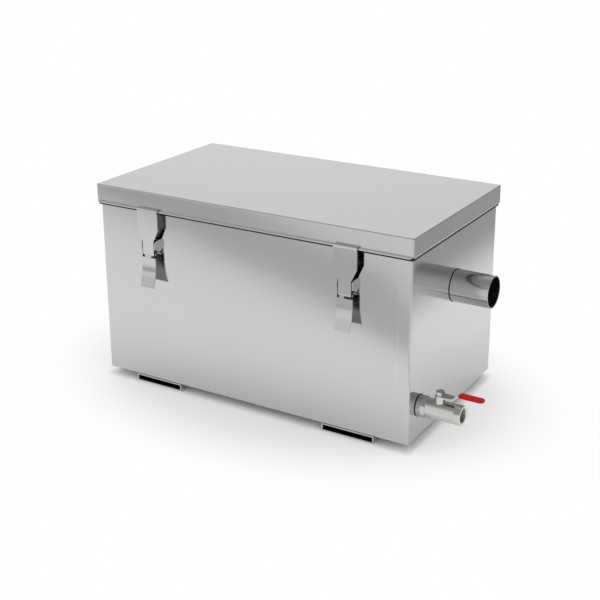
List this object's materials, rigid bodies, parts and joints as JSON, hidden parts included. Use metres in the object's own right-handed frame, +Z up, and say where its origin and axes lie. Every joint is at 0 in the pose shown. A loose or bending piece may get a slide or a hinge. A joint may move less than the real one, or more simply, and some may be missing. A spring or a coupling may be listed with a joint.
{
  "type": "grease trap",
  "caption": "Rectangular stainless-steel grease trap with a clamped lift-off lid, latches, pipe stubs, baffles, a strainer basket and a lever drain valve.",
  "frame": {"origin": "bottom centre of the whole object's box, on the floor plane", "axes": "+X from the inlet towards the outlet pipe and the drain valve, -Y the front with two latches, +Z up"},
  "size_m": [0.7116, 0.3452, 0.3294],
  "materials": {
    "polished_stainless": "polished stainless-steel sheet",
    "stainless_fittings": "bright satin stainless steel",
    "plated_brass": "nickel-plated brass",
    "chrome_ball": "chromed and polished",
    "white_seat": "smooth white low-friction plastic",
    "black_rubber": "matte black rubber",
    "red_grip": "soft glossy red vinyl"
  },
  "bodies": {
    "tank": {"tank_shell": "polished_stainless", "rim_seal": "black_rubber", "left_foot": "polished_stainless", "right_foot": "polished_stainless", "inlet_pipe": "stainless_fittings", "outlet_pipe": "stainless_fittings", "outlet_tee": "stainless_fittings", "inlet_baffle": "polished_stainless", "weir_baffle": "polished_stainless", "outlet_baffle": "polished_stainless", "front_basket_rail": "polished_stainless", "rear_basket_rail": "polished_stainless", "strainer_basket": "polished_stainless", "basket_handle": "stainless_fittings", "drain_socket": "stainless_fittings", "valve_body": "plated_brass", "valve_insert": "plated_brass", "inlet_ball_seat": "white_seat", "outlet_ball_seat": "white_seat", "stem_packing": "white_seat", "front_left_bracket": "stainless_fittings", "front_left_lever_pin": "stainless_fittings", "front_right_bracket": "stainless_fittings", "front_right_lever_pin": "stainless_fittings", "rear_left_bracket": "stainless_fittings", "rear_left_lever_pin": "stainless_fittings", "rear_right_bracket": "stainless_fittings", "rear_right_lever_pin": "stainless_fittings"},
    "valve_handle": {"valve_lever": "stainless_fittings", "lever_nut": "stainless_fittings", "lever_sleeve": "red_grip", "valve_stem": "plated_brass", "valve_ball": "chrome_ball"},
    "lid": {"lid": "polished_stainless"},
    "front_left_lever": {"front_left_lever": "stainless_fittings", "front_left_strap_pin": "stainless_fittings"},
    "front_left_strap": {"front_left_strap": "stainless_fittings"},
    "front_right_lever": {"front_right_lever": "stainless_fittings", "front_right_strap_pin": "stainless_fittings"},
    "front_right_strap": {"front_right_strap": "stainless_fittings"},
    "rear_left_lever": {"rear_left_lever": "stainless_fittings", "rear_left_strap_pin": "stainless_fittings"},
    "rear_left_strap": {"rear_left_strap": "stainless_fittings"},
    "rear_right_lever": {"rear_right_lever": "stainless_fittings", "rear_right_strap_pin": "stainless_fittings"},
    "rear_right_strap": {"rear_right_strap": "stainless_fittings"}
  },
  "joints": [
    {"name": "lid_lift", "type": "slide", "parent": "tank", "child": "lid", "axis": [0, 0, 1], "range_m": [0, 0.3]},
    {"name": "drain_valve_turn", "type": "hinge", "parent": "tank", "child": "valve_handle", "pos_m": [0.2882, -0.1175, 0.0626], "axis": [0, 0, -1], "range_deg": [0, 90]},
    {"name": "front_left_lever_turn", "type": "hinge", "parent": "tank", "child": "front_left_lever", "pos_m": [-0.1948, -0.1614, 0.24255], "axis": [-1, 0, 0], "range_deg": [0, 110]},
    {"name": "front_left_strap_turn", "type": "hinge", "parent": "front_left_lever", "child": "front_left_strap", "pos_m": [-0.1948, -0.16165, 0.23055], "axis": [-1, 0, 0], "range_deg": [-110, 0]},
    {"name": "front_right_lever_turn", "type": "hinge", "parent": "tank", "child": "front_right_lever", "pos_m": [0.1552, -0.1614, 0.24255], "axis": [-1, 0, 0], "range_deg": [0, 110]},
    {"name": "front_right_strap_turn", "type": "hinge", "parent": "front_right_lever", "child": "front_right_strap", "pos_m": [0.1552, -0.16165, 0.23055], "axis": [-1, 0, 0], "range_deg": [-110, 0]},
    {"name": "rear_left_lever_turn", "type": "hinge", "parent": "tank", "child": "rear_left_lever", "pos_m": [-0.1948, 0.1614, 0.24255], "axis": [1, 0, 0], "range_deg": [0, 110]},
    {"name": "rear_left_strap_turn", "type": "hinge", "parent": "rear_left_lever", "child": "rear_left_strap", "pos_m": [-0.1948, 0.16165, 0.23055], "axis": [1, 0, 0], "range_deg": [-110, 0]},
    {"name": "rear_right_lever_turn", "type": "hinge", "parent": "tank", "child": "rear_right_lever", "pos_m": [0.1552, 0.1614, 0.24255], "axis": [1, 0, 0], "range_deg": [0, 110]},
    {"name": "rear_right_strap_turn", "type": "hinge", "parent": "rear_right_lever", "child": "rear_right_strap", "pos_m": [0.1552, 0.16165, 0.23055], "axis": [1, 0, 0], "range_deg": [-110, 0]}
  ],
  "couplings": [
    {"joint": "front_left_strap_turn", "follows": "front_left_lever_turn", "ratio": -1},
    {"joint": "front_right_strap_turn", "follows": "front_right_lever_turn", "ratio": -1},
    {"joint": "rear_left_strap_turn", "follows": "rear_left_lever_turn", "ratio": -1},
    {"joint": "rear_right_strap_turn", "follows": "rear_right_lever_turn", "ratio": -1}
  ]
}
